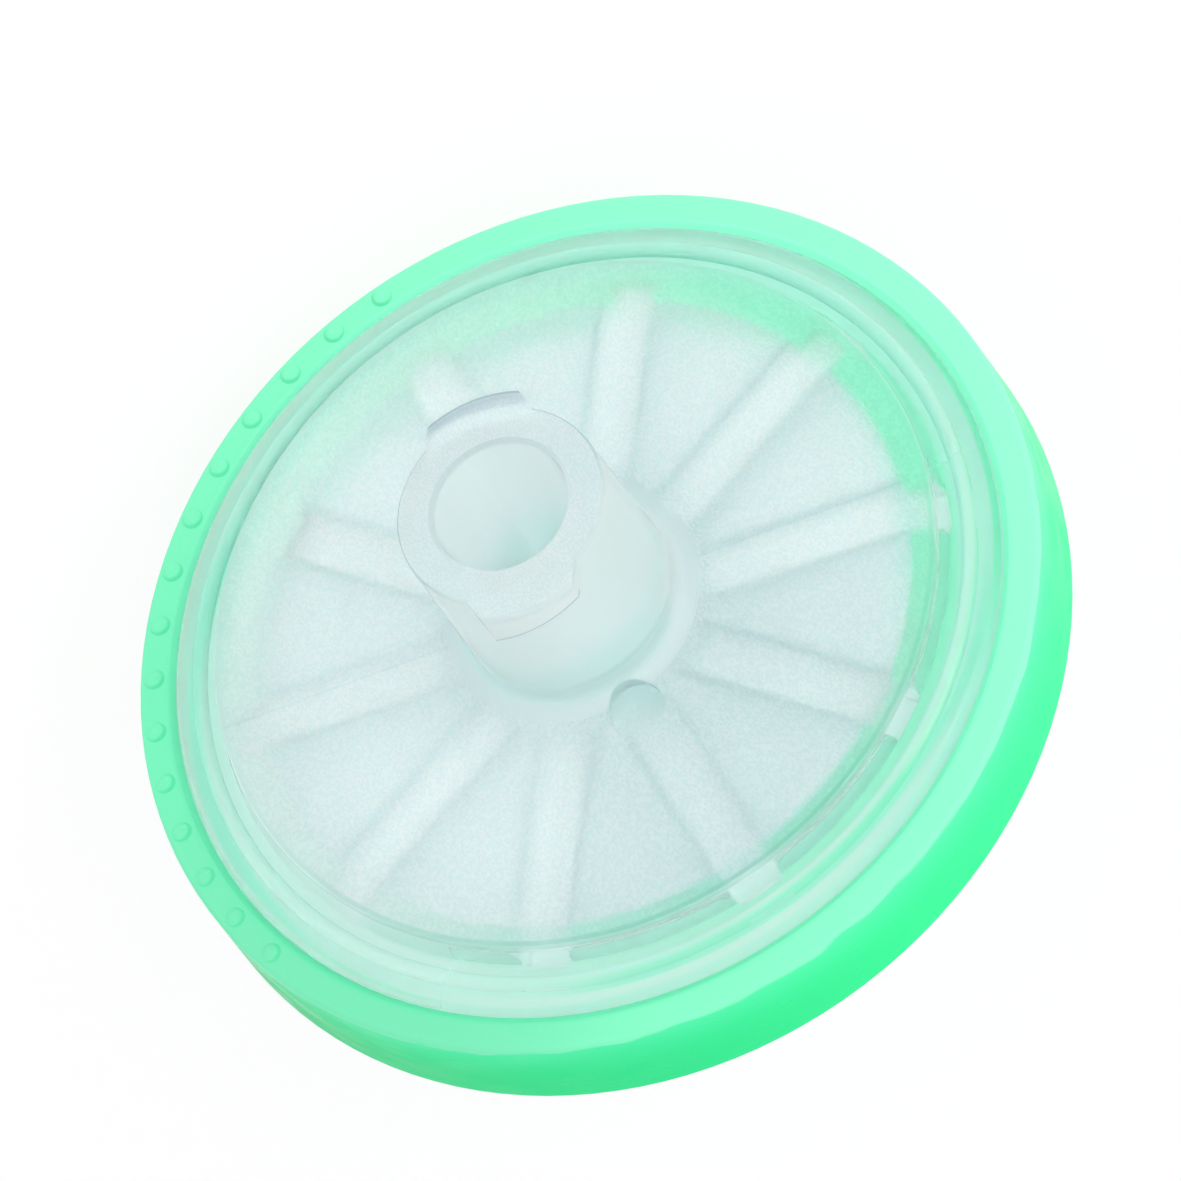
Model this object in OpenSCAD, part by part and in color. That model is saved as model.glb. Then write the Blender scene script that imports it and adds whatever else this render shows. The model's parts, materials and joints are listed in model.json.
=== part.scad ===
// Disc syringe filter, 25 mm class: two moulded housings, a membrane clamped between them and
// a ring moulded round the joint. It lies as it comes to rest on a bench, on the ring's lower
// edge and the tip of the outlet nozzle, with the inlet hub on top.
//
// Every piece is drawn on the filter's own axis first: z = 0 is the ring's lower face, the
// hub points up and the nozzle points down. at_rest() then tips the whole filter over until
// the ring and the nozzle tip touch the bench together.

/* [Ring] */
// Outer diameter of the ring
ring_d = 28.8; // [28.6:0.1:30]
// Height of the ring
ring_h = 3.25; // [3.15:0.05:3.6]
// Diameter of the opening in the ring's upper and lower lip
lip_d = 26.52; // [26.3:0.02:26.8]
// Thickness of each lip over the flange that it grips
lip_t = 0.5; // [0.4:0.05:0.6]
// Width of the bevel round the edge of each lip
lip_bevel = 0.2; // [0.1:0.05:0.25]
// Inner diameter of the web that the ring sends in between the housings
web_d = 21; // [20.4:0.1:21.4]
// Thickness of the web over the membrane
web_t = 0.55; // [0.4:0.05:0.6]
// Rounding of the ring's outer edges, and of the nozzle's tip
edge_r = 0.15; // [0.1:0.05:0.25]

/* [Grip dots] */
// Number of raised dots on the ring's upper face
dot_count = 15; // [1:1:24]
// Angle from one dot to the next
dot_pitch = 7.5; // [6:0.5:10]
// Diameter of a dot
dot_d = 0.58; // [0.4:0.02:0.7]
// Height of a dot
dot_h = 0.1; // [0.05:0.01:0.15]
// Distance of the dots from the axis
dot_offset = 13.92; // [13.85:0.01:13.95]

/* [Discs] */
// Diameter of each housing's raised disc at its flat face
disc_d = 23.1; // [22.8:0.1:23.2]
// Draft of the disc's side wall, on the radius
disc_draft = 0.17; // [0.05:0.01:0.2]
// Height of the inlet disc above the ring
inlet_rise = 1.25; // [1:0.05:1.6]
// Drop of the outlet disc below the ring
outlet_drop = 0.6; // [0.5:0.05:1]
// Height of the ledge round the disc over the ring's face
ledge_rise = 0.31; // [0.25:0.01:0.4]
// Width of the shoulder that slopes from the ledge to the lip
shoulder_w = 0.14; // [0.1:0.01:0.2]
// Diameter of the circle that the ledge's bead follows
bead_d = 24.66; // [24.5:0.02:24.8]
// Radius of the half-round bead
bead_r = 0.25; // [0.1:0.05:0.25]

/* [Joint] */
// Height of the membrane's seat above the ring's lower face
seat_z = 1.75; // [1.7:0.05:1.8]
// Diameter of the flanges that the ring grips
flange_d = 27.7; // [27.4:0.1:28]
// Diameter of the membrane
membrane_d = 23.2; // [23:0.1:24]
// Thickness of the membrane
membrane_t = 0.15; // [0.1:0.01:0.18]

/* [Inlet chamber] */
// Height of the chamber over the membrane
chamber_h = 1.3; // [1:0.05:1.4]
// Number of radial ribs
rib_count = 10; // [6:1:12]
// Width of a rib
rib_w = 1.5; // [1:0.1:1.6]
// Diameter of the circle where the ribs start
rib_start_d = 8; // [7.8:0.1:9]
// Diameter of the circle where the ribs end
rib_end_d = 22.8; // [22:0.1:22.9]
// Fillet between a rib's sides and the chamber's roof
rib_fillet = 0.4; // [0.2:0.05:0.5]

/* [Inlet hub] */
// Height of the hub above the disc
hub_h = 6.6; // [6.5:0.1:7]
// Outer diameter of the hub at its face
hub_d = 6.56; // [6.3:0.02:6.7]
// Draft of the hub's wall, on the radius
hub_draft = 0.07; // [0.02:0.01:0.15]
// Fillet between the hub and the disc
hub_fillet = 1; // [0.5:0.1:1.1]
// Diameter of the six per cent bore at its mouth
bore_d = 4.3; // [4.27:0.005:4.315]
// Depth of the tapered bore
bore_depth = 7.5; // [7:0.1:7.6]
// Width of the bevel round the bore's mouth
bore_lead = 0.12; // [0.05:0.01:0.2]
// Diameter of the hole from the bore into the chamber
feed_d = 2.2; // [1.5:0.1:3]
// Diameter over the two locking lugs
lug_d = 7.8; // [7.73:0.01:7.83]
// Height of a lug, halfway along it
lug_h = 1; // [0.95:0.05:1.2]
// Lead of the thread that the lugs' undersides follow
lug_lead = 5; // [4.5:0.1:5.5]
// Half of the angle that a lug takes up at its root
lug_root_angle = 32.5; // [30:0.5:34]
// Half of the angle that a lug takes up at its crest
lug_crest_angle = 22; // [21:0.5:25]
// Diameter of the gate recess beside the hub
gate_d = 1.74; // [1:0.02:2]
// Distance of the gate recess from the axis
gate_offset = 4.48; // [4.4:0.02:6]

/* [Outlet] */
// Reach of the nozzle's tip below the ring
nozzle_reach = 8.21; // [8.1:0.01:9]
// Outer diameter of the six per cent nozzle at its tip
nozzle_tip_d = 3.96; // [3.92:0.01:3.99]
// Diameter of the collar at the nozzle's root
collar_d = 6.2; // [5.6:0.1:7]
// Height of the collar
collar_h = 0.4; // [0.3:0.1:0.8]
// Diameter of the outlet channel
channel_d = 1.6; // [1:0.1:2]
// Number of support rings under the membrane
support_count = 7; // [4:1:8]
// Height of the support rings
support_h = 0.5; // [0.3:0.05:0.6]
// Width of a support ring
support_w = 0.5; // [0.3:0.05:0.6]
// Width of the drains that cross the support rings
drain_w = 1; // [0.6:0.1:1.2]

/* [Directions round the axis] */
// Direction of the first lug, counted from the side that touches the bench
lug_angle = 161.5; // [0:0.5:360]
// Direction of the first rib
rib_angle = -4; // [-18:1:18]
// Direction of the middle dot
dot_angle = 48.5; // [0:0.5:360]
// Direction of the gate recess
gate_angle = 174.5; // [0:0.5:360]

/* [Hidden] */
$fn = 96;

taper = 0.03;             // slope of the bore and the nozzle, on the radius
bevel_h = 0.1;            // height of the lips' bevel
disc_corner_r = 0.08;     // rounding of the disc's and the hub's edges
foot_r = 0.12;            // fillet where the disc's wall meets the ledge
lug_edge_r = 0.2;         // rounding along the lugs' crest
gate_depth = 0.15;        // depth of the gate recess below the disc
collar_fillet = 0.5;      // fillets at the foot of the collar and of the nozzle
well_d = 3.6;             // mouth of the funnel into the outlet channel
well_h = 0.7;             // height of that funnel
land_w = 0.3;             // plain floor between the last support ring and its wall
bite = 0.1;               // how far one shape runs into the next before they are joined

ring_r = ring_d / 2;
lip_r = lip_d / 2;
web_r = web_d / 2;
disc_r = disc_d / 2;
wall_foot_r = disc_r + disc_draft;
bead_centre_r = bead_d / 2;
flange_r = flange_d / 2;
membrane_r = membrane_d / 2;
rib_start_r = rib_start_d / 2;
rib_end_r = rib_end_d / 2;
hub_r = hub_d / 2;
bore_r = bore_d / 2;
feed_r = feed_d / 2;
lug_r = lug_d / 2;
tip_r = nozzle_tip_d / 2;
collar_r = collar_d / 2;
channel_r = channel_d / 2;
well_r = well_d / 2;

membrane_top_z = seat_z + membrane_t;
web_top_z = membrane_top_z + web_t;
roof_z = membrane_top_z + chamber_h;
disc_z = ring_h + inlet_rise;
hub_z = disc_z + hub_h;
bore_end_z = hub_z - bore_depth;
floor_z = seat_z - support_h;
collar_z = -outlet_drop - collar_h;

// The tilt at which the ring and the nozzle's tip touch one plane, and the axis' lift and
// shift that put that plane at z = 0 with the middle of the filter over the origin
rest_tilt = atan(nozzle_reach / (ring_r - tip_r));
rest_lift = (ring_r - edge_r) * sin(rest_tilt) + edge_r * (1 - cos(rest_tilt));
rest_shift = -ring_h / 2 * sin(rest_tilt);

function polar(r, a) = [r * cos(a), r * sin(a)];

// Points along an arc, from one direction to another
function arc(centre, r, from, to, steps = 6) =
    [for (i = [0:steps]) centre + polar(r, from + (to - from) * i / steps)];

// The same outline on the other side of z = 0, walked the other way round
function underside(points) =
    [for (i = [len(points) - 1:-1:0]) [points[i].x, -points[i].y]];

// Outer outline of a housing, from the flange in to the edge of the raised disc. face_z is
// the ring's face and top_z is the disc's, both counted away from the joint.
function rim_outline(face_z, top_z) =
    let (ledge_z = face_z + ledge_rise)
    concat(
        [[flange_r, face_z - lip_t], [lip_r, face_z - lip_t], [lip_r, face_z - bevel_h]],
        arc([lip_r - shoulder_w - foot_r, ledge_z - foot_r], foot_r, 20, 90, 3),
        arc([bead_centre_r, ledge_z], bead_r, 0, 180, 10),
        arc([wall_foot_r + foot_r, ledge_z + foot_r], foot_r, 270, 190, 4),
        arc([disc_r - disc_corner_r, top_z - disc_corner_r], disc_corner_r, 10, 90, 4)
    );

module around(count, first = 0) {
    for (i = [0:count - 1]) {
        rotate([0, 0, first + i * 360 / count])
            children();
    }
}

// A bar that lies along a radius, from one distance to another
module radial_bar(from_r, to_r, width, from_z, to_z) {
    translate([from_r, -width / 2, from_z])
        cube([to_r - from_r, width, to_z - from_z]);
}

// One rib along +X: it holds the membrane down and flares into the chamber's roof
module rib() {
    flare_y = rib_w / 2 + rib_fillet;
    flare_z = roof_z - rib_fillet;
    translate([rib_start_r, 0, 0])
        rotate([90, 0, 90])
            linear_extrude(height = rib_end_r - rib_start_r)
                polygon(concat(
                    [[-rib_w / 2, membrane_top_z], [rib_w / 2, membrane_top_z]],
                    arc([flare_y, flare_z], rib_fillet, 180, 90, 5),
                    [[flare_y, roof_z + bite], [-flare_y, roof_z + bite]],
                    arc([-flare_y, flare_z], rib_fillet, 90, 0, 5)
                ));
}

module at_rest() {
    translate([rest_shift, 0, rest_lift])
        rotate([0, rest_tilt, 0])
            children();
}

// One locking lug along +X: a rounded flange cut to a slanted sector, its underside a thread
// flank that rises along the lug
module lug() {
    flank_angle = atan(lug_lead / (2 * PI * lug_r));
    root = polar(hub_r, lug_root_angle);
    crest = polar(lug_r, lug_crest_angle);
    past_crest = crest + (crest - root) / 2;
    flip = [1, -1];
    intersection() {
        rotate_extrude()
            polygon(concat(
                [[hub_r - 4 * bite, hub_z - 2 * lug_h], [lug_r, hub_z - 2 * lug_h]],
                arc([lug_r - lug_edge_r, hub_z - lug_edge_r], lug_edge_r, 0, 90),
                [[hub_r - 4 * bite, hub_z]]
            ));
        translate([0, 0, hub_z - 2 * lug_h])
            linear_extrude(height = 3 * lug_h)
                polygon([
                    [0, 0],
                    [root.x * flip.x, root.y * flip.y],
                    [past_crest.x * flip.x, past_crest.y * flip.y],
                    past_crest,
                    root
                ]);
        translate([0, 0, hub_z - lug_h])
            rotate([flank_angle, 0, 0])
                translate([0, -lug_r, 0])
                    cube([2 * lug_r, 2 * lug_r, 3 * lug_h]);
    }
}

module inlet_body() {
    hub_foot_r = hub_r + hub_draft;
    rotate_extrude()
        polygon(concat(
            [[feed_r, roof_z], [web_r, roof_z], [web_r, web_top_z], [flange_r, web_top_z]],
            rim_outline(ring_h, disc_z),
            arc([hub_foot_r + hub_fillet, disc_z + hub_fillet], hub_fillet, 270, 180, 12),
            arc([hub_r - disc_corner_r, hub_z - disc_corner_r], disc_corner_r, 0, 90, 4),
            [[bore_r + bore_lead, hub_z]],
            [[bore_r - taper * bore_lead, hub_z - bore_lead]],
            [[bore_r - taper * bore_depth, bore_end_z], [feed_r, bore_end_z]]
        ));
}

// Upper half: female hub with locking lugs, raised disc, and ribs that hold the membrane down
module inlet_housing() {
    color([0.87, 0.94, 0.94, 0.7])
        at_rest()
            difference() {
                union() {
                    inlet_body();
                    around(2, lug_angle)
                        lug();
                    around(rib_count, rib_angle)
                        rib();
                }
                rotate([0, 0, gate_angle])
                    translate([gate_offset, 0, disc_z - gate_depth])
                        cylinder(d = gate_d, h = hub_fillet + gate_depth);
            }
}

module outlet_body() {
    root_fillet = collar_fillet / 2;
    root_r = tip_r + taper * (nozzle_reach + collar_z - root_fillet - edge_r);
    wall_r = web_r + land_w;
    rotate_extrude()
        polygon(concat(
            [[channel_r, -nozzle_reach]],
            arc([tip_r - edge_r, edge_r - nozzle_reach], edge_r, 270, 360),
            arc([root_r + root_fillet, collar_z - root_fillet], root_fillet, 180, 90),
            arc([collar_r - disc_corner_r, collar_z + disc_corner_r], disc_corner_r, 270, 360, 4),
            arc([collar_r + collar_fillet, -outlet_drop - collar_fillet], collar_fillet, 180, 90),
            underside(rim_outline(0, outlet_drop)),
            [[flange_r, seat_z], [wall_r, seat_z], [wall_r, floor_z], [well_r, floor_z]],
            [[channel_r, floor_z - well_h]]
        ));
}

// Rings under the membrane, crossed by drains that lead to the well
module membrane_support() {
    first_r = well_r + land_w;
    last_r = web_r - support_w;
    difference() {
        for (i = [0:support_count - 1]) {
            rotate_extrude()
                translate([first_r + (last_r - first_r) * i / (support_count - 1), floor_z - bite])
                    square([support_w, support_h + bite]);
        }
        around(rib_count, rib_angle + 180 / rib_count)
            radial_bar(0, web_r + land_w, drain_w, floor_z - 2 * bite, seat_z + bite);
    }
}

// Lower half: support rings and drains under the membrane, and the male slip nozzle
module outlet_housing() {
    color([0.85, 0.93, 0.93, 0.7])
        at_rest() {
            outlet_body();
            membrane_support();
        }
}

module membrane() {
    color("white")
        at_rest()
            translate([0, 0, seat_z])
                cylinder(r = membrane_r, h = membrane_t);
}

// Outer ring with both lips, and the web that seals the membrane's rim
module ring_body() {
    rotate_extrude()
        polygon(concat(
            [[lip_r, lip_t], [lip_r, bevel_h], [lip_r + lip_bevel, 0]],
            arc([ring_r - edge_r, edge_r], edge_r, 270, 360),
            arc([ring_r - edge_r, ring_h - edge_r], edge_r, 0, 90),
            [[lip_r + lip_bevel, ring_h], [lip_r, ring_h - bevel_h], [lip_r, ring_h - lip_t]],
            [[flange_r, ring_h - lip_t], [flange_r, web_top_z], [web_r, web_top_z]],
            [[web_r, membrane_top_z], [membrane_r, membrane_top_z], [membrane_r, seat_z]],
            [[flange_r, seat_z], [flange_r, lip_t]]
        ));
}

// A low dome on the ring's face
module dot() {
    dome_r = (dot_d * dot_d / 4 + dot_h * dot_h) / (2 * dot_h);
    intersection() {
        translate([0, 0, ring_h + dot_h - dome_r])
            sphere(r = dome_r);
        translate([0, 0, ring_h - bite])
            cylinder(r = dot_d, h = bite + dot_h);
    }
}

module overmould_ring() {
    color([0.47, 0.96, 0.75])
        at_rest() {
            difference() {
                ring_body();
                around(rib_count, rib_angle)
                    radial_bar(web_r - rib_w, rib_end_r, rib_w, membrane_top_z, web_top_z);
            }
            for (i = [0:dot_count - 1]) {
                rotate([0, 0, dot_angle + (i - (dot_count - 1) / 2) * dot_pitch])
                    translate([dot_offset, 0, 0])
                        dot();
            }
        }
}

inlet_housing();
outlet_housing();
membrane();
overmould_ring();
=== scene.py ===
"""Looks for a disc syringe filter: natural polypropylene housings, a white membrane and a green
moulded ring, lying on a white bench under soft studio light, seen from straight above.

Lengths in the materials are in millimetres on the filter's own axis: height is counted from the
ring's lower face, and turn, in degrees, round the axis from the side that touches the bench."""

import json

import bmesh
import bpy
import numpy as np
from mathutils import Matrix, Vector, noise
from math import acos, cos, pi, radians, sin


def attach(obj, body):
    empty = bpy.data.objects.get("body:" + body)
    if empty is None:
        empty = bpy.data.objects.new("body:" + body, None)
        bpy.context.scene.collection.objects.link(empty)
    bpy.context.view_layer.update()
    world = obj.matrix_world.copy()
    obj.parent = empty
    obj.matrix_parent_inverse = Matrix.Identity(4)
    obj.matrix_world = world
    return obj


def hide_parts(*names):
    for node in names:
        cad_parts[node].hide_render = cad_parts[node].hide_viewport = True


MM = 0.001

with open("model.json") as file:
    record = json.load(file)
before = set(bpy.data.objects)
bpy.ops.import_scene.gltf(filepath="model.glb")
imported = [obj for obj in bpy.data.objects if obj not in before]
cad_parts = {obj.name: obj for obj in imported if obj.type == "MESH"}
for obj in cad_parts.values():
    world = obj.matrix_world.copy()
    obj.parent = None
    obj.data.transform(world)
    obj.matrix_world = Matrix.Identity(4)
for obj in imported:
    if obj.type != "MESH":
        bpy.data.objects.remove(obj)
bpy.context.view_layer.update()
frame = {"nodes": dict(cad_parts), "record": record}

# ---------------------------------------------------------------------------
# The filter's own axis. It leans over to +X, because the filter lies on its
# ring and its nozzle.
# ---------------------------------------------------------------------------

RING_HEIGHT = 3.25
HUB_HEIGHT = 11.1
SEAT_HEIGHT = 1.75
MEMBRANE_THICKNESS = 0.15
MEMBRANE_RADIUS = 11.6

rim = next(mount for mount in frame["record"]["mounts"] if mount["name"] == "rim")
AXIS = Vector(rim["axis"])
LEAN = acos(AXIS.z)
AXIS_FOOT = Vector(rim["pos_m"]) - AXIS * (RING_HEIGHT / 2 * MM)
SIDE = Vector((cos(LEAN), 0, -sin(LEAN)))
ACROSS = Vector((0, 1, 0))


def on_axis(height):
    """The point of the filter's axis at a height over the ring's lower face."""
    return AXIS_FOOT + AXIS * (height * MM)


# ---------------------------------------------------------------------------
# Node helpers
# ---------------------------------------------------------------------------


def colour(red, green, blue):
    """An sRGB colour, 0 to 255, as the linear colour that a socket takes."""

    def linear(value):
        value = value / 255
        return value / 12.92 if value <= 0.04045 else ((value + 0.055) / 1.055) ** 2.4

    return (linear(red), linear(green), linear(blue), 1)


WHITE = colour(255, 255, 255)


def feed(tree, socket, value):
    """Links a socket to an output, or sets its own value."""
    if isinstance(value, bpy.types.NodeSocket):
        tree.links.new(value, socket)
    else:
        socket.default_value = value


def sums(tree, operation, *values):
    """One Math node."""
    node = tree.nodes.new("ShaderNodeMath")
    node.operation = operation
    for socket, value in zip(node.inputs, values):
        feed(tree, socket, value)
    return node.outputs[0]


def all_of(tree, first, *others):
    """Masks multiplied together."""
    for other in others:
        first = sums(tree, "MULTIPLY", first, other)
    return first


def length_of(tree, x, y):
    """The length of a flat arrow."""
    squares = sums(tree, "ADD", sums(tree, "MULTIPLY", x, x), sums(tree, "MULTIPLY", y, y))
    return sums(tree, "SQRT", squares)


def step(tree, value, start, end, low=0.0, high=1.0):
    """A smooth step from low to high while a value goes from start to end."""
    node = tree.nodes.new("ShaderNodeMapRange")
    node.interpolation_type = "SMOOTHSTEP"
    for socket, number in zip(node.inputs, (value, start, end, low, high)):
        feed(tree, socket, number)
    return node.outputs["Result"]


def band(tree, value, middle, half_width, softness):
    """1 where a value is within half_width of the middle, with soft sides."""
    distance = sums(tree, "ABSOLUTE", sums(tree, "SUBTRACT", value, middle))
    return step(tree, distance, half_width, half_width + softness, 1.0, 0.0)


def mixed(tree, share, first, second):
    """A colour between two, by a share from 0 to 1."""
    node = tree.nodes.new("ShaderNodeMix")
    node.data_type = "RGBA"
    feed(tree, node.inputs["Factor"], share)
    feed(tree, node.inputs[6], first)
    feed(tree, node.inputs[7], second)
    return node.outputs[2]


def tinted(tree, share, tone, tint):
    """A colour multiplied by a tint, by a share from 0 to 1."""
    result = mixed(tree, share, tone, tint)
    result.node.blend_type = "MULTIPLY"
    return result


def by_height(tree, height, stops):
    """A colour that goes through (height, colour) stops, from the ring's foot to its top."""
    scaled = tree.nodes.new("ShaderNodeMapRange")
    for socket, number in zip(scaled.inputs, (height, 0.0, RING_HEIGHT)):
        feed(tree, socket, number)
    ramp = tree.nodes.new("ShaderNodeValToRGB")
    ramp.color_ramp.interpolation = "B_SPLINE"
    elements = ramp.color_ramp.elements
    while len(elements) < len(stops):
        elements.new(0.5)
    for element, (position, stop_colour) in zip(elements, stops):
        element.position = position / RING_HEIGHT
        element.color = stop_colour
    tree.links.new(scaled.outputs["Result"], ramp.inputs["Fac"])
    return ramp.outputs["Color"]


def speckle(tree, vector, scale, detail):
    node = tree.nodes.new("ShaderNodeTexNoise")
    feed(tree, node.inputs["Vector"], vector)
    feed(tree, node.inputs["Scale"], scale)
    node.inputs["Detail"].default_value = detail
    return node.outputs["Fac"]


def bump(tree, height, distance, strength):
    node = tree.nodes.new("ShaderNodeBump")
    node.inputs["Distance"].default_value = distance
    feed(tree, node.inputs["Strength"], strength)
    feed(tree, node.inputs["Height"], height)
    return node.outputs["Normal"]


def new_group(name, inputs, outputs):
    """A shader node group. inputs are (name, kind, default), outputs (name, kind)."""
    group = bpy.data.node_groups.new(name, "ShaderNodeTree")
    for label, kind, default in inputs:
        socket = group.interface.new_socket(
            label, in_out="INPUT", socket_type="NodeSocket" + kind
        )
        if default is not None:
            socket.default_value = default
    for label, kind in outputs:
        group.interface.new_socket(label, in_out="OUTPUT", socket_type="NodeSocket" + kind)
    return group, group.nodes.new("NodeGroupInput"), group.nodes.new("NodeGroupOutput")


def place(tree, group, **values):
    """One use of a node group in a material, with its own values."""
    node = tree.nodes.new("ShaderNodeGroup")
    node.node_tree = group
    for label, value in values.items():
        feed(tree, node.inputs[label.replace("_", " ")], value)
    return node.outputs


# ---------------------------------------------------------------------------
# Effects that several materials share
# ---------------------------------------------------------------------------


def axis_group():
    """Where a point lies on the filter, and how far its face looks along the axis."""
    group, _, out = new_group(
        "filter axis",
        [],
        [("Place", "Vector"), ("Height", "Float"), ("Radius", "Float"), ("Turn", "Float"),
         ("Facing", "Float")],
    )
    coordinates = group.nodes.new("ShaderNodeTexCoord")
    mapping = group.nodes.new("ShaderNodeMapping")
    mapping.vector_type = "TEXTURE"
    mapping.inputs["Location"].default_value = AXIS_FOOT
    mapping.inputs["Rotation"].default_value = (0, LEAN, 0)
    mapping.inputs["Scale"].default_value = (MM, MM, MM)
    group.links.new(coordinates.outputs["Object"], mapping.inputs["Vector"])
    parts = group.nodes.new("ShaderNodeSeparateXYZ")
    group.links.new(mapping.outputs["Vector"], parts.inputs[0])
    x, y, z = parts.outputs
    facing = group.nodes.new("ShaderNodeVectorMath")
    facing.operation = "DOT_PRODUCT"
    facing.inputs[1].default_value = AXIS
    group.links.new(coordinates.outputs["Normal"], facing.inputs[0])
    for label, value in (
        ("Place", mapping.outputs["Vector"]),
        ("Height", z),
        ("Radius", length_of(group, x, y)),
        ("Turn", sums(group, "ARCTAN2", y, x)),
        ("Facing", facing.outputs["Value"]),
    ):
        feed(group, out.inputs[label], value)
    return group


def frost_group():
    """The fine spark-eroded grain that a mould leaves on a face: its relief, and a tone from
    pits at 0 to peaks at 1. Where the mask is 0, the tone is 0.5."""
    group, into, out = new_group(
        "frosted grain",
        [("Place", "Vector", None), ("Grains per mm", "Float", 11.0), ("Mask", "Float", 1.0)],
        [("Height", "Float"), ("Tone", "Float")],
    )
    grains = speckle(group, into.outputs["Place"], into.outputs["Grains per mm"], 0.0)
    relief = step(group, grains, 0.36, 0.64)
    feed(group, out.inputs["Height"], relief)
    swing = sums(group, "SUBTRACT", relief, 0.5)
    feed(group, out.inputs["Tone"],
         sums(group, "MULTIPLY_ADD", swing, into.outputs["Mask"], 0.5))
    return group


def flow_group():
    """Slow waves in a moulded skin, drawn out round the axis, from uneven shrinking."""
    group, into, out = new_group(
        "moulded skin",
        [("Height", "Float", 0.0), ("Radius", "Float", 0.0), ("Turn", "Float", 0.0),
         ("Waves", "Float", 1.0)],
        [("Height", "Float")],
    )
    height, radius, turn, waves = into.outputs[:4]
    round_axis, up_and_out = 5.0, 0.9
    wrapped = group.nodes.new("ShaderNodeCombineXYZ")
    for socket, value in zip(wrapped.inputs, (
        sums(group, "MULTIPLY", sums(group, "COSINE", turn), round_axis),
        sums(group, "MULTIPLY", sums(group, "SINE", turn), round_axis),
        sums(group, "MULTIPLY", sums(group, "ADD", height, radius), up_and_out),
    )):
        feed(group, socket, value)
    feed(group, out.inputs["Height"], speckle(group, wrapped.outputs[0], waves, 1.0))
    return group


def side_group():
    """How far round a point lies towards one side: 1 at that turn, 0 opposite."""
    group, into, out = new_group(
        "towards a side",
        [("Turn", "Float", 0.0), ("Strongest turn", "Float", 0.0)],
        [("Share", "Float")],
    )
    away = sums(group, "SUBTRACT", into.outputs["Turn"], into.outputs["Strongest turn"])
    feed(group, out.inputs["Share"],
         sums(group, "MULTIPLY_ADD", sums(group, "COSINE", away), 0.5, 0.5))
    return group


AXIS_GROUP = axis_group()
FROST_GROUP = frost_group()
FLOW_GROUP = flow_group()
SIDE_GROUP = side_group()


def towards(tree, axis, turn):
    """The share by which a point lies towards a turn."""
    return place(tree, SIDE_GROUP, Turn=axis["Turn"], Strongest_turn=radians(turn))["Share"]


def about(tree, axis, turn, start, end):
    """A mask round a turn, which rises while the share goes from start to end."""
    return step(tree, towards(tree, axis, turn), start, end)


def distance_along(tree, axis, turn):
    """How far a point lies from the axis, measured along one direction."""
    node = tree.nodes.new("ShaderNodeVectorMath")
    node.operation = "DOT_PRODUCT"
    node.inputs[1].default_value = (cos(radians(turn)), sin(radians(turn)), 0)
    feed(tree, node.inputs[0], axis["Place"])
    return node.outputs["Value"]


def turned_past(tree, axis, turn):
    """The angle from a turn to a point, from 0 to a full circle, in radians."""
    return sums(tree, "WRAP", sums(tree, "SUBTRACT", axis["Turn"], radians(turn)), 2 * pi, 0.0)


# ---------------------------------------------------------------------------
# The inlet housing
# ---------------------------------------------------------------------------

RELIEF = 0.009 * MM

# Heights and radii where one surface of the housing gives way to the next
RIB_FOOT = 1.95
CHAMBER_ROOF = 3.2
LEDGE_HEIGHT = 3.3
DISC_FOOT = 4.2
DISC_BRINK = 4.4
HUB_FOOT = 5.0
FILLET_TOP = 5.5
HUB_WALL = 3.1
LUG_ROOT = 3.7
FILLET_EDGE = 5.2
RIB_END = 11.0
DISC_EDGE = 11.5
DISC_WALL = 11.75
BEAD = 12.33
SHOULDER = 12.98

# Sides of the filter, as turns: the lit one, the one raised highest over the bench, the one
# that touches it, the one where the ledge carries the least painted green light, and the one
# where the painted green light drifts outwards, near the grip dots
LIT_SIDE = 260
RAISED_SIDE = 180
BENCH_SIDE = 0
QUIET_SIDE = 86
DOT_SIDE = 70

# Roughness of each surface of the inlet housing
INSIDE_FINISH = 0.22
CLEAR_LEDGE_FINISH = 0.22
LEDGE_FINISH = 0.46
WALL_FINISH = 0.4
FROST_FINISH = 0.28
GATE_FINISH = 0.6
CORNER_FINISH = 0.85

PIT_TONE = colour(239, 248, 250)
KNIT_TINT = colour(240, 248, 248)
GATE_SHADE = colour(202, 231, 229)
# Painted shade and light on the hub's wall: darker at its foot, lighter at its top
HUB_FOOT_SHADE_TONE = colour(228, 250, 248)
HUB_TOP_LIT_TONE = colour(253, 255, 255)
# Painted shade line where the hub's wall meets the fillet
FOOT_SHADE_LINE_TONE = colour(212, 240, 238)
# Painted shade in the fillet at the hub's foot
FILLET_SHADE_TINT = colour(236, 242, 242)
# Painted shade line under each lug's crest
FLANK_SHADE_TONE = colour(120, 160, 190)
# Painted shade lines on the hub's brink and on a lug's crest
BRINK_SHADE_TONE = colour(160, 190, 197)
CREST_SHADE_TONE = colour(182, 206, 214)
# Painted shade along the ribs' sides, and its darker copy for the lit side
RIB_SIDE_SHADE_TONE = colour(214, 236, 238)
LIT_RIB_SIDE_SHADE_TONE = colour(188, 219, 225)
# Painted shade in the disc's corner on the raised side
CORNER_SHADE_TINT = colour(214, 240, 232)

# Painted green light from the ring on the ledge, with its pool and its drift
LEDGE_TONE = colour(238, 255, 252)
LIT_LEDGE_TONE = colour(235, 255, 252)
QUIET_LEDGE_TONE = colour(250, 255, 255)
GREEN_POOL_LIGHT_TONE = colour(176, 255, 230)
GREEN_DRIFT_LIGHT_TONE = colour(184, 255, 236)
# Painted shade line along the ring's lip
LIP_SHADE_LINE_TONE = colour(96, 246, 186)
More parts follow.
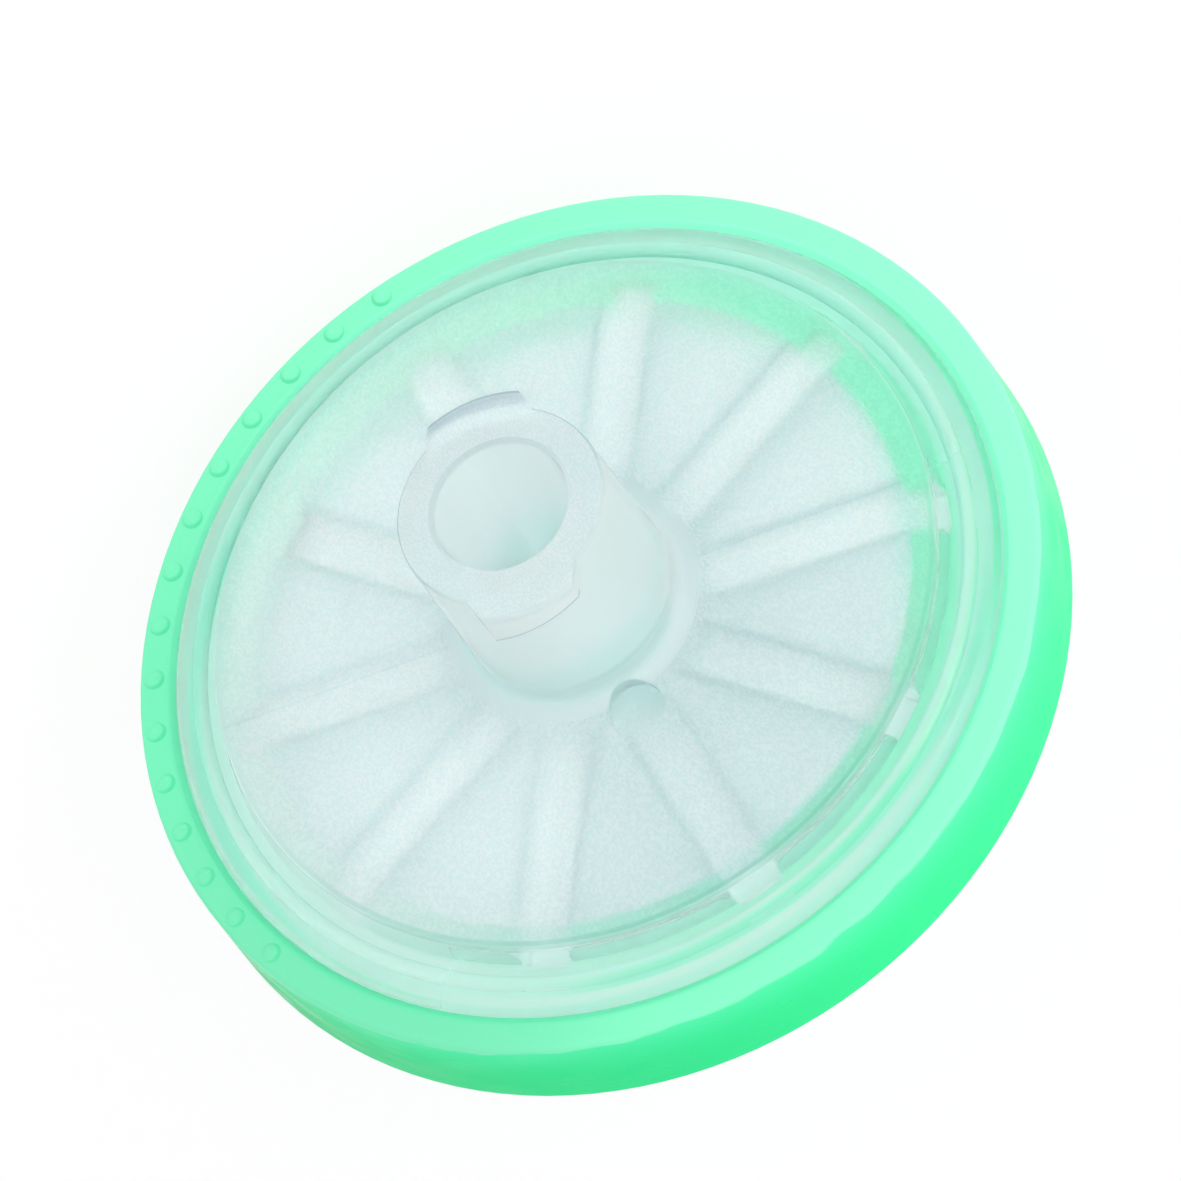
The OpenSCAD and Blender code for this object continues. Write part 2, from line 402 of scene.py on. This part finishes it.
# Painted highlight streaks of reflection from the bead
STREAK_HIGHLIGHT_TONE = colour(252, 255, 254)
# Painted shade on the disc's wall on the raised side
DISC_WALL_SHADE_TONE = colour(222, 249, 241)

GATE_TURN = 174.5
GATE_DISTANCE = 4.48
GATE_RADIUS = 0.9
GATE_SHADE_TURN = 322.7
GATE_MIDDLE = GATE_DISTANCE * cos(radians(GATE_TURN - GATE_SHADE_TURN))

KNIT_TURN = 69.5
GLINT_TURN = 252
PATCH_TURN = 214

LUG_MIDDLE_TURN = 161.5
LUG_DEPTH = 1.0
LUG_LEAD = 5.0

# Painted shade and painted green light on the frosted disc, in zones where less light comes up
# and where the ring's green shows through: the side, the share where the zone starts and is
# full, the same for the radius, and the tint
DISC_LIGHT_AND_SHADE_ZONES = (
    (RAISED_SIDE + 10, 0.8, 0.98, 3.0, 3.2, colour(237, 242, 243)),
    (125, 0.6, 0.9, 7.0, 11.2, colour(240, 243, 244)),
    (270, 0.8, 0.95, 9.9, 10.7, colour(226, 255, 247)),
    (RAISED_SIDE - 10, 0.85, 0.97, 10.7, 11.1, colour(232, 254, 249)),
    (BENCH_SIDE, 0.6, 0.9, 10.7, 11.3, colour(236, 245, 243)),
)


def new_material(name, transmission=0.0):
    material = bpy.data.materials.new(name)
    material.use_nodes = True
    tree = material.node_tree
    shader = tree.nodes["Principled BSDF"]
    shader.inputs["IOR"].default_value = 1.49
    shader.inputs["Transmission Weight"].default_value = transmission
    return material, tree, shader


def frosted_skin(tree, axis, mask):
    """The grain of a flat face: a share from pits to peaks, and its relief."""
    frost = place(tree, FROST_GROUP, Place=axis["Place"], Mask=mask)
    return frost["Tone"], frost["Height"]


def knit_line(tree, axis):
    """The hairline across the disc where two fronts of plastic met in the mould."""
    sideways = sums(tree, "SUBTRACT", axis["Turn"], radians(KNIT_TURN))
    sideways = sums(tree, "MULTIPLY", axis["Radius"], sums(tree, "SINE", sideways))
    return band(tree, sideways, 0.0, 0.02, 0.03)


def painted_disc_light_and_shade(tree, axis, on_disc, tone):
    """The soft, broad tints of painted shade and green light on the frosted disc."""
    for turn, start, end, first, last, tint in DISC_LIGHT_AND_SHADE_ZONES:
        zone = all_of(tree, on_disc, about(tree, axis, turn, start, end),
                      step(tree, axis["Radius"], first, last))
        tone = tinted(tree, zone, tone, tint)
    return tone


def gate_recess(tree, axis):
    """A mask of the round gate recess beside the hub, and of its shaded half."""
    beside = sums(tree, "SUBTRACT", distance_along(tree, axis, GATE_TURN), GATE_DISTANCE)
    past = distance_along(tree, axis, GATE_TURN + 90)
    away = length_of(tree, beside, past)
    gate = all_of(tree, step(tree, away, GATE_RADIUS + 0.03, GATE_RADIUS - 0.04),
                  step(tree, axis["Height"], DISC_FOOT, DISC_FOOT + 0.1),
                  step(tree, axis["Height"], FILLET_TOP + 0.5, FILLET_TOP + 0.1))
    across = distance_along(tree, axis, GATE_SHADE_TURN)
    shaded = step(tree, across, GATE_MIDDLE - 0.8, GATE_MIDDLE + 0.7)
    return gate, all_of(tree, gate, shaded)


def hub_wall_tone(tree, axis, walls, tone):
    """The satin wall of the hub, with painted shade that makes it darker and greener at its foot,
    a painted highlight on one side, and a thin painted shade line where it meets the fillet."""
    height = axis["Height"]
    hub = mixed(tree, step(tree, height, HUB_FOOT, 7.4), HUB_FOOT_SHADE_TONE, HUB_TOP_LIT_TONE)
    # Painted highlight down one side of the hub's wall
    glint = all_of(tree, about(tree, axis, GLINT_TURN, 0.85, 0.97),
                   step(tree, height, FILLET_TOP + 0.7, FILLET_TOP + 0.1))
    hub = mixed(tree, glint, hub, WHITE)
    on_wall = all_of(tree, step(tree, height, 4.55, HUB_FOOT), walls)
    tone = mixed(tree, on_wall, tone, hub)
    # Painted shade line at the crease between the hub's wall and the fillet
    line = all_of(tree, band(tree, height, FILLET_TOP - 0.2, 0.03, 0.12),
                  about(tree, axis, RAISED_SIDE + 10, 0.86, 1.0))
    return mixed(tree, line, tone, FOOT_SHADE_LINE_TONE)


def foot_fillet_shade(tree, axis, tone):
    """Painted shade in the fillet from the hub's wall to the disc, a shade darker than both."""
    height, radius = axis["Height"], axis["Radius"]
    fillet = all_of(tree, step(tree, height, FILLET_TOP, HUB_FOOT),
                    step(tree, height, DISC_BRINK, DISC_BRINK + 0.05),
                    step(tree, radius, FILLET_EDGE, LUG_ROOT),
                    step(tree, radius, HUB_WALL, HUB_WALL + 0.1))
    return tinted(tree, fillet, tone, FILLET_SHADE_TINT)


def lug_flank_shade(tree, axis):
    """A painted shade line where each lug's crest turns under into its thread flank."""
    turn = sums(tree, "SUBTRACT", axis["Turn"], radians(LUG_MIDDLE_TURN))
    along = sums(tree, "WRAP", turn, pi / 2, -pi / 2)
    flank = sums(tree, "MULTIPLY_ADD", along, LUG_LEAD / (2 * pi), HUB_HEIGHT - LUG_DEPTH)
    line = band(tree, sums(tree, "SUBTRACT", axis["Height"], flank), 0.0, 0.025, 0.03)
    return all_of(tree, line, step(tree, axis["Radius"], LUG_ROOT, LUG_ROOT + 0.1), 0.8)


def hub_edge_shade(tree, axis, face, tone):
    """Painted shade lines on the hub's edges at its face: the brink of the wall, and the crest of
    the lug on the bench's side."""
    height, radius = axis["Height"], axis["Radius"]
    low = towards(tree, axis, BENCH_SIDE)
    brink = all_of(tree, step(tree, height, HUB_HEIGHT - 0.3, HUB_HEIGHT - 0.1),
                   step(tree, face, 0.9, 0.3), step(tree, radius, 2.4, 2.8, 0.35, 0.9),
                   step(tree, low, 0.1, 0.8, 0.15, 1.0))
    tone = mixed(tree, brink, tone, BRINK_SHADE_TONE)
    crest = all_of(tree, step(tree, radius, 3.45, 3.65),
                   step(tree, height, HUB_HEIGHT - 0.05, HUB_HEIGHT - 0.02),
                   step(tree, low, 0.5, 1.0, 0.0, 0.55))
    return mixed(tree, crest, tone, CREST_SHADE_TONE)


def rib_side_shade(tree, axis, walls, tone):
    """Painted shade along the sides of the ribs in the chamber, strongest on the lit side."""
    height = axis["Height"]
    sides = all_of(tree, walls, step(tree, height, CHAMBER_ROOF + 0.05, CHAMBER_ROOF - 0.05),
                   step(tree, height, RIB_FOOT, RIB_FOOT + 0.15),
                   step(tree, axis["Radius"], RIB_END + 0.2, RIB_END))
    shade = mixed(tree, about(tree, axis, LIT_SIDE, 0.3, 0.9), RIB_SIDE_SHADE_TONE, LIT_RIB_SIDE_SHADE_TONE)
    return mixed(tree, sides, tone, shade)


def ledge_pool(tree, axis):
    """A mask of the painted green light that pools in the raised side of the ledge."""
    middle = step(tree, turned_past(tree, axis, 90), radians(105), radians(135),
                  SHOULDER - 0.36, SHOULDER - 0.06)
    line = band(tree, sums(tree, "SUBTRACT", axis["Radius"], middle), 0.0, 0.1, 0.2)
    share = towards(tree, axis, RAISED_SIDE + 10)
    return all_of(tree, line, step(tree, share, 0.8, 0.93, 0.0, 0.85))


def ledge_drift(tree, axis):
    """A mask of the painted green light that drifts outwards near the grip dots."""
    turn_there = radians(48)
    outwards = 0.65 / turn_there
    middle = sums(tree, "MULTIPLY_ADD", sums(tree, "SUBTRACT", axis["Turn"], turn_there),
                  outwards, BEAD - 0.03)
    line = band(tree, sums(tree, "SUBTRACT", axis["Radius"], middle), 0.0, 0.12, 0.25)
    share = towards(tree, axis, DOT_SIDE)
    return all_of(tree, line, step(tree, share, 0.86, 0.96, 0.0, 0.85))


def ledge_highlight_streaks(tree, axis, raised):
    """A mask of the painted pale streaks of reflection that the bead bends round the ledge: one
    winds slowly outwards, one lies on the raised side, and one is a short patch on the bead."""
    radius = axis["Radius"]
    outwards = 0.85 / radians(240)
    middle = sums(tree, "MULTIPLY_ADD", turned_past(tree, axis, 165), outwards, DISC_WALL + 0.4)
    winding = band(tree, sums(tree, "SUBTRACT", radius, middle), 0.0, 0.08, 0.14)
    second = all_of(tree, band(tree, radius, SHOULDER - 0.06, 0.08, 0.1),
                    step(tree, raised, 0.8, 0.97))
    patch = all_of(tree, about(tree, axis, PATCH_TURN, 0.985, 0.997),
                   band(tree, radius, BEAD, 0.12, 0.15))
    return sums(tree, "MAXIMUM", sums(tree, "MAXIMUM", winding, second), patch)


def ledge_painted_light(tree, axis):
    """Painted green light from the ring that gathers in the clear ledge, with painted pale streaks
    of reflection, and painted shade along the ring's lip and on the disc's wall.
    """
    radius = axis["Radius"]
    lit = towards(tree, axis, LIT_SIDE)
    raised = towards(tree, axis, RAISED_SIDE - 10)
    tone = mixed(tree, lit, LEDGE_TONE, LIT_LEDGE_TONE)
    quiet = all_of(tree, about(tree, axis, QUIET_SIDE, 0.8, 0.93), step(tree, radius, 12.7, 12.3))
    tone = mixed(tree, quiet, tone, QUIET_LEDGE_TONE)
    tone = mixed(tree, ledge_pool(tree, axis), tone, GREEN_POOL_LIGHT_TONE)
    tone = mixed(tree, ledge_drift(tree, axis), tone, GREEN_DRIFT_LIGHT_TONE)
    # Painted shade: a dark green line along the ring's lip
    lip = sums(tree, "ADD", about(tree, axis, QUIET_SIDE, 0.86, 0.97),
               step(tree, lit, 0.88, 0.98, 0.0, 0.7))
    lip = all_of(tree, lip, step(tree, radius, SHOULDER, SHOULDER + 0.14))
    tone = mixed(tree, lip, tone, LIP_SHADE_LINE_TONE)
    tone = mixed(tree, ledge_highlight_streaks(tree, axis, raised), tone, STREAK_HIGHLIGHT_TONE)
    # Painted shade on the disc's wall, towards the raised side
    disc_wall = all_of(tree, step(tree, radius, DISC_WALL + 0.1, DISC_WALL), raised)
    return mixed(tree, disc_wall, tone, DISC_WALL_SHADE_TONE)


def inlet_plastic():
    """Natural polypropylene: frosted on the disc and the hub's face, satin on the hub's wall,
    and clear round the disc, with painted green light from the ring, painted shade and highlights."""
    material, tree, shader = new_material("frosted natural polypropylene", 0.78)
    axis = place(tree, AXIS_GROUP)
    height, radius = axis["Height"], axis["Radius"]
    face = all_of(tree, step(tree, axis["Facing"], 0.93, 0.985),
                  step(tree, height, DISC_FOOT, DISC_BRINK))
    walls = step(tree, sums(tree, "ABSOLUTE", axis["Facing"]), 0.95, 0.55)
    frosted = all_of(tree, face, step(tree, radius, DISC_EDGE, DISC_EDGE - 0.25))
    on_disc = all_of(tree, face, step(tree, height, HUB_FOOT, 4.8))
    on_ledge = all_of(tree, step(tree, height, CHAMBER_ROOF, LEDGE_HEIGHT),
                      step(tree, height, DISC_BRINK, DISC_FOOT),
                      step(tree, radius, DISC_EDGE - 0.1, DISC_EDGE))
    corner = all_of(tree, step(tree, height, DISC_FOOT + 0.1, DISC_BRINK - 0.04),
                    step(tree, height, DISC_BRINK + 0.2, DISC_BRINK + 0.12),
                    step(tree, frosted, 0.9, 0.5),
                    step(tree, radius, DISC_EDGE - 0.3, DISC_EDGE - 0.1))
    gate, gate_shade = gate_recess(tree, axis)

    grain, relief = frosted_skin(tree, axis, frosted)
    tone = mixed(tree, grain, PIT_TONE, WHITE)
    tone = tinted(tree, all_of(tree, knit_line(tree, axis), on_disc), tone, KNIT_TINT)
    tone = painted_disc_light_and_shade(tree, axis, on_disc, tone)
    tone = mixed(tree, gate_shade, tone, GATE_SHADE)
    tone = hub_wall_tone(tree, axis, walls, tone)
    tone = foot_fillet_shade(tree, axis, tone)
    tone = mixed(tree, lug_flank_shade(tree, axis), tone, FLANK_SHADE_TONE)
    tone = hub_edge_shade(tree, axis, face, tone)
    tone = rib_side_shade(tree, axis, walls, tone)
    tone = mixed(tree, on_ledge, tone, ledge_painted_light(tree, axis))
    # Painted shade in the disc's corner, towards the raised side
    shaded = all_of(tree, corner, about(tree, axis, RAISED_SIDE - 10, 0.5, 0.9))
    tone = tinted(tree, shaded, tone, CORNER_SHADE_TINT)
    tree.links.new(tone, shader.inputs["Base Color"])

    clearest = about(tree, axis, RAISED_SIDE + 10, 0.45, 0.85)
    ledge_finish = sums(tree, "MULTIPLY_ADD", clearest, CLEAR_LEDGE_FINISH - LEDGE_FINISH,
                        LEDGE_FINISH)
    finish = step(tree, height, LEDGE_HEIGHT, LEDGE_HEIGHT + 0.15, INSIDE_FINISH, WALL_FINISH)
    finish = step(tree, face, 0.3, 0.7, finish, FROST_FINISH)
    finish = step(tree, gate, 0.2, 0.6, finish, GATE_FINISH)
    finish = step(tree, on_ledge, 0.4, 0.6, finish, ledge_finish)
    finish = step(tree, corner, 0.0, 1.0, finish, CORNER_FINISH)
    tree.links.new(finish, shader.inputs["Roughness"])
    tree.links.new(bump(tree, relief, RELIEF, frosted), shader.inputs["Normal"])
    return material


# ---------------------------------------------------------------------------
# The outlet housing, the ring and the membrane
# ---------------------------------------------------------------------------


OUTLET_FINISH = 0.28
OUTLET_FROST_FINISH = 0.4
OUTLET_PIT_TONE = colour(248, 252, 254)


def outlet_plastic():
    """Natural polypropylene of the lower half: satin, frosted on the disc's flat face."""
    material, tree, shader = new_material("natural polypropylene", 0.82)
    axis = place(tree, AXIS_GROUP)
    face = all_of(tree, step(tree, axis["Facing"], -0.93, -0.985),
                  step(tree, axis["Height"], -0.4, -0.5))
    grain, _ = frosted_skin(tree, axis, face)
    tree.links.new(mixed(tree, grain, OUTLET_PIT_TONE, WHITE), shader.inputs["Base Color"])
    tree.links.new(step(tree, face, 0.3, 0.7, OUTLET_FINISH, OUTLET_FROST_FINISH),
                   shader.inputs["Roughness"])
    return material


LIP_BEVEL = 13.5
RING_WALL = 14.2

BEVEL_LIT_SIDE = 292
PALE_WEB_SIDE = 150

# Painted light and shade on the ring's lip and bevel: lit copies on the lit side, a shaded one away
# from it
LIP_TONE = colour(116, 234, 182)
LIT_LIP_TONE = colour(146, 251, 204)
SHADED_LIP_TONE = colour(116, 224, 176)
BEVEL_TONE = colour(104, 226, 174)
LIT_BEVEL_TONE = colour(148, 255, 212)
DOT_FOOT_TONE = colour(78, 218, 156)
# Painted light on the ring's web, seen through the housings: white, lit and pale copies
WEB_TONE = colour(240, 250, 247)
LIT_WEB_TONE = colour(120, 255, 208)
UNDER_LEDGE_TONE = colour(214, 255, 242)
LIT_UNDER_LEDGE_TONE = colour(196, 255, 240)
PALE_UNDER_LEDGE_TONE = colour(220, 254, 243)

# Painted shade and light on the ring's wall, from its foot up, on its shaded and its lit side
WALL_TONES = (
    (0.0, colour(0, 196, 122)),
    (1.0, colour(0, 194, 116)),
    (2.2, colour(0, 208, 130)),
    (RING_HEIGHT, colour(60, 224, 160)),
)
LIT_WALL_TONES = (
    (0.0, colour(64, 255, 160)),
    (1.0, colour(58, 255, 158)),
    (2.2, colour(70, 255, 166)),
    (RING_HEIGHT, colour(98, 255, 184)),
)

DOT_MIDDLE_TURN = 48.5
DOT_PITCH = 7.5
DOT_OFFSET = 13.92
DOT_RADIUS = 0.29
DOT_COUNT = 15


def dot_foot(tree, axis):
    """The shaded side of each raised dot's foot: a thin crescent."""
    turn = sums(tree, "SUBTRACT", axis["Turn"], radians(DOT_MIDDLE_TURN))
    turn = sums(tree, "DIVIDE", turn, radians(DOT_PITCH))
    along = sums(tree, "SUBTRACT", turn, sums(tree, "ROUND", turn))
    along = sums(tree, "MULTIPLY", along, radians(DOT_PITCH) * DOT_OFFSET)
    out = sums(tree, "SUBTRACT", axis["Radius"], DOT_OFFSET)
    at_foot = step(tree, length_of(tree, along, out), DOT_RADIUS + 0.02, DOT_RADIUS + 0.07, 1.0, 0.0)
    off_middle = length_of(tree, sums(tree, "ADD", along, 0.05), sums(tree, "SUBTRACT", out, 0.05))
    shaded = step(tree, off_middle, DOT_RADIUS - 0.06, DOT_RADIUS + 0.06)
    in_row = step(tree, sums(tree, "ABSOLUTE", turn), DOT_COUNT / 2, DOT_COUNT / 2 + 0.1, 1.0, 0.0)
    on_top = step(tree, axis["Height"], RING_HEIGHT - 0.05, RING_HEIGHT - 0.01)
    return all_of(tree, at_foot, shaded, in_row, on_top)


def ring_web_painted_light(tree, axis, lit):
    """Painted light on the web between the housings, seen through them: white under the disc,
    greener on the lit side, and paler under the ledge."""
    web = mixed(tree, lit, WEB_TONE, LIT_WEB_TONE)
    under_ledge = mixed(tree, lit, UNDER_LEDGE_TONE, LIT_UNDER_LEDGE_TONE)
    under_ledge = mixed(tree, about(tree, axis, PALE_WEB_SIDE, 0.7, 0.95), under_ledge,
                        PALE_UNDER_LEDGE_TONE)
    return mixed(tree, step(tree, axis["Radius"], DISC_EDGE, 12.0), web, under_ledge)


def green_plastic():
    """The overmoulded ring: deep green sides, paler lips, and a pale web between the housings,
    with painted light and shade on each of them.
    """
    material, tree, shader = new_material("green polypropylene")
    shader.inputs["Specular IOR Level"].default_value = 0.1
    axis = place(tree, AXIS_GROUP)
    height, radius = axis["Height"], axis["Radius"]
    skin = place(tree, FLOW_GROUP, Height=height, Radius=radius, Turn=axis["Turn"], Waves=1.6)
    lit = towards(tree, axis, LIT_SIDE)
    bevel_lit = towards(tree, axis, BEVEL_LIT_SIDE)
    lip = mixed(tree, lit, LIP_TONE, LIT_LIP_TONE)
    lip = mixed(tree, step(tree, bevel_lit, 0.15, 0.0), lip, SHADED_LIP_TONE)
    bevel = mixed(tree, bevel_lit, BEVEL_TONE, LIT_BEVEL_TONE)
    lip = mixed(tree, step(tree, radius, LIP_BEVEL + 0.12, LIP_BEVEL - 0.08), lip, bevel)
    wall = mixed(tree, lit, by_height(tree, height, WALL_TONES),
                 by_height(tree, height, LIT_WALL_TONES))
    wander = sums(tree, "MULTIPLY_ADD", skin["Height"], 0.5, sums(tree, "SUBTRACT", height, 0.25))
    on_wall = all_of(tree, step(tree, radius, RING_WALL - 0.15, RING_WALL),
                     step(tree, wander, RING_HEIGHT - 0.13, RING_HEIGHT - 0.29))
    tone = mixed(tree, on_wall, lip, wall)
    inside = all_of(tree, step(tree, height, RING_HEIGHT - 0.09, RING_HEIGHT - 0.15),
                    step(tree, height, 0.1, 0.16),
                    step(tree, radius, RING_WALL, RING_WALL - 0.2))
    tone = mixed(tree, inside, tone, ring_web_painted_light(tree, axis, lit))
    tone = mixed(tree, all_of(tree, dot_foot(tree, axis), 0.7), tone, DOT_FOOT_TONE)
    tree.links.new(tone, shader.inputs["Base Color"])
    tree.links.new(step(tree, skin["Height"], 0.3, 0.7, 0.26, 0.4), shader.inputs["Roughness"])
    return material


MEMBRANE_FINISH = 0.8
MEMBRANE_PIT_TONE = colour(248, 251, 253)


def porous_white():
    """The membrane's matt white, with a faint grain of pores."""
    material, tree, shader = new_material("porous white membrane")
    shader.inputs["Roughness"].default_value = MEMBRANE_FINISH
    axis = place(tree, AXIS_GROUP)
    pores = place(tree, FROST_GROUP, Place=axis["Place"], Grains_per_mm=14.0)
    contrast = 0.8
    tone = sums(tree, "MULTIPLY_ADD", pores["Tone"], contrast, 0.5 - contrast / 2)
    tree.links.new(mixed(tree, tone, MEMBRANE_PIT_TONE, WHITE), shader.inputs["Base Color"])
    return material


# ---------------------------------------------------------------------------
# Pieces
# ---------------------------------------------------------------------------

BOND = 0.008 * MM
LONGEST_SHIFT = 3 * BOND
SAME_SPOT = 0.0005 * MM
SAME_WAY = 0.995
NO_AREA = 1e-14


def bonded_ring(material):
    """The ring with each face moved out by a hair. It is moulded round the housings and bonded
    to them, so no air is left between the two plastics."""
    source = frame["nodes"]["overmould_ring"]
    piece = bpy.data.objects.new("ring", source.data.copy())
    bpy.context.scene.collection.objects.link(piece)
    mesh = piece.data

    def spot_of(vertex):
        return tuple(round(value / SAME_SPOT) for value in vertex.co)

    normals_at = {}
    for face in mesh.polygons:
        if face.area < NO_AREA:
            continue
        for index in face.vertices:
            known = normals_at.setdefault(spot_of(mesh.vertices[index]), [])
            if all(face.normal.dot(normal) < SAME_WAY for normal in known):
                known.append(face.normal.copy())
    for vertex in mesh.vertices:
        normals = normals_at.get(spot_of(vertex))
        if not normals:
            continue
        rows = np.array([list(normal) for normal in normals])
        shift, *_ = np.linalg.lstsq(rows, np.full(len(rows), BOND), rcond=0.05)
        length = np.linalg.norm(shift)
        if length > LONGEST_SHIFT:
            shift = shift * (LONGEST_SHIFT / length)
        vertex.co += Vector(shift)
    dress_piece(piece, "overmould_ring", material)


def membrane_sheet(material):
    """The membrane as a thin sheet on a polar grid, a little wavy inside its clamped rim."""
    spokes, circles = 180, 46
    clamped_from, swell_height = 10.4, 0.006
    top = SEAT_HEIGHT + MEMBRANE_THICKNESS + BOND / MM
    bottom = SEAT_HEIGHT - BOND / MM
    body = bmesh.new()

    def ring_of(radius, height, wave):
        row = []
        for index in range(spokes):
            turn = 2 * pi * index / spokes
            swell = wave * noise.noise(Vector((radius * cos(turn), radius * sin(turn), height)))
            flat = SIDE * (radius * cos(turn) * MM) + ACROSS * (radius * sin(turn) * MM)
            row.append(body.verts.new(on_axis(height - abs(swell)) + flat))
        return row

    rows = [ring_of(MEMBRANE_RADIUS, bottom, 0)]
    for index in range(circles):
        radius = MEMBRANE_RADIUS * (1 - index / circles)
        rows.append(ring_of(radius, top, swell_height if radius < clamped_from else 0))
    for outer, inner in zip(rows, rows[1:]):
        for index in range(spokes):
            following = (index + 1) % spokes
            body.faces.new((outer[index], outer[following], inner[following], inner[index]))
    middle = body.verts.new(on_axis(top))
    for index in range(spokes):
        body.faces.new((rows[-1][index], rows[-1][(index + 1) % spokes], middle))
    body.faces.new(list(reversed(rows[0])))
    mesh = bpy.data.meshes.new("membrane_sheet")
    body.to_mesh(mesh)
    body.free()
    piece = bpy.data.objects.new("membrane_sheet", mesh)
    bpy.context.scene.collection.objects.link(piece)
    mesh.shade_smooth()
    mesh.set_sharp_from_angle(angle=radians(40))
    dress_piece(piece, "membrane", material)


def dress_piece(piece, node, material):
    piece.data.materials.clear()
    piece.data.materials.append(material)
    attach(piece, "root")
    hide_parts(node)


def dress_node(node, material):
    for material_slot in frame["nodes"][node].material_slots:
        material_slot.material = material


# ---------------------------------------------------------------------------
# Bench, light and camera
# ---------------------------------------------------------------------------

# The camera looks straight down, turned about the vertical
CAMERA_TURN = radians(-127.3)
CAMERA_DISTANCE = 905.2
CAMERA_OFFSET = (0.105, 0.8778)
CAMERA_LENS = 914.48
RIGHT = Vector((cos(CAMERA_TURN), sin(CAMERA_TURN), 0))
UP = Vector((-sin(CAMERA_TURN), cos(CAMERA_TURN), 0))

BENCH_HALF_WIDTH = 3.0
BENCH_WHITE = (0.92, 0.92, 0.92, 1)
BENCH_GLOW = 0.85
WORLD_LEVEL = 1.11
LAMP_WIDTH = 0.4
LAMP_POWER = 1.0


def make_bench():
    """A wide white bench, which is nearly plain white to the camera and behind the plastics,
    and keeps a little of the filter's shadow."""
    half = BENCH_HALF_WIDTH
    mesh = bpy.data.meshes.new("bench")
    corners = [(-half, -half, 0), (half, -half, 0), (half, half, 0), (-half, half, 0)]
    mesh.from_pydata(corners, [], [(0, 1, 2, 3)])
    bench = bpy.data.objects.new("bench", mesh)
    bpy.context.scene.collection.objects.link(bench)
    material = bpy.data.materials.new("white bench")
    material.use_nodes = True
    tree = material.node_tree
    tree.nodes.clear()
    output = tree.nodes.new("ShaderNodeOutputMaterial")
    diffuse = tree.nodes.new("ShaderNodeBsdfDiffuse")
    diffuse.inputs["Color"].default_value = BENCH_WHITE
    glow = tree.nodes.new("ShaderNodeEmission")
    mix = tree.nodes.new("ShaderNodeMixShader")
    path = tree.nodes.new("ShaderNodeLightPath").outputs
    seen = sums(tree, "MAXIMUM", path["Is Camera Ray"], path["Is Transmission Ray"])
    seen = sums(tree, "MAXIMUM", seen, path["Is Glossy Ray"])
    tree.links.new(sums(tree, "MULTIPLY", seen, BENCH_GLOW), mix.inputs[0])
    tree.links.new(diffuse.outputs[0], mix.inputs[1])
    tree.links.new(glow.outputs[0], mix.inputs[2])
    tree.links.new(mix.outputs[0], output.inputs["Surface"])
    mesh.materials.append(material)


def make_world():
    """Even white light from all round, and plain white where the camera sees it."""
    world = bpy.data.worlds.new("studio")
    bpy.context.scene.world = world
    world.use_nodes = True
    world.cycles.sampling_method = "NONE"
    tree = world.node_tree
    background = tree.nodes["Background"]
    background.inputs["Color"].default_value = (1, 1, 1, 1)
    path = tree.nodes.new("ShaderNodeLightPath").outputs
    tree.links.new(step(tree, path["Is Camera Ray"], 0, 1, WORLD_LEVEL, 1.0),
                   background.inputs["Strength"])


def make_soft_box():
    """One weak disc lamp above the filter's right, for a hint of direction."""
    aim = on_axis(RING_HEIGHT)
    position = aim + RIGHT * 0.5 + UP * 0.3 + Vector((0, 0, 0.6))
    data = bpy.data.lights.new("key", "AREA")
    data.shape = "DISK"
    data.size = LAMP_WIDTH
    data.energy = LAMP_POWER
    lamp = bpy.data.objects.new("key", data)
    bpy.context.scene.collection.objects.link(lamp)
    lamp.location = position
    lamp.rotation_euler = (aim - position).to_track_quat("-Z", "Y").to_euler()


def make_camera():
    data = bpy.data.cameras.new("camera")
    data.lens = CAMERA_LENS
    data.sensor_width = 36
    camera = bpy.data.objects.new("camera", data)
    bpy.context.scene.collection.objects.link(camera)
    offset = RIGHT * CAMERA_OFFSET[0] + UP * CAMERA_OFFSET[1] + Vector((0, 0, CAMERA_DISTANCE))
    camera.location = on_axis(RING_HEIGHT) + offset * MM
    camera.rotation_euler = (0, 0, CAMERA_TURN)
    bpy.context.scene.camera = camera


dress_node("inlet_housing", inlet_plastic())
dress_node("outlet_housing", outlet_plastic())
bonded_ring(green_plastic())
membrane_sheet(porous_white())

make_camera()
make_bench()
make_world()
make_soft_box()

scene = bpy.context.scene
scene.view_settings.view_transform = "Standard"
scene.cycles.blur_glossy = 0.0
scene.cycles.max_bounces = 18
scene.cycles.diffuse_bounces = 8
scene.cycles.glossy_bounces = 8
scene.cycles.transmission_bounces = 18
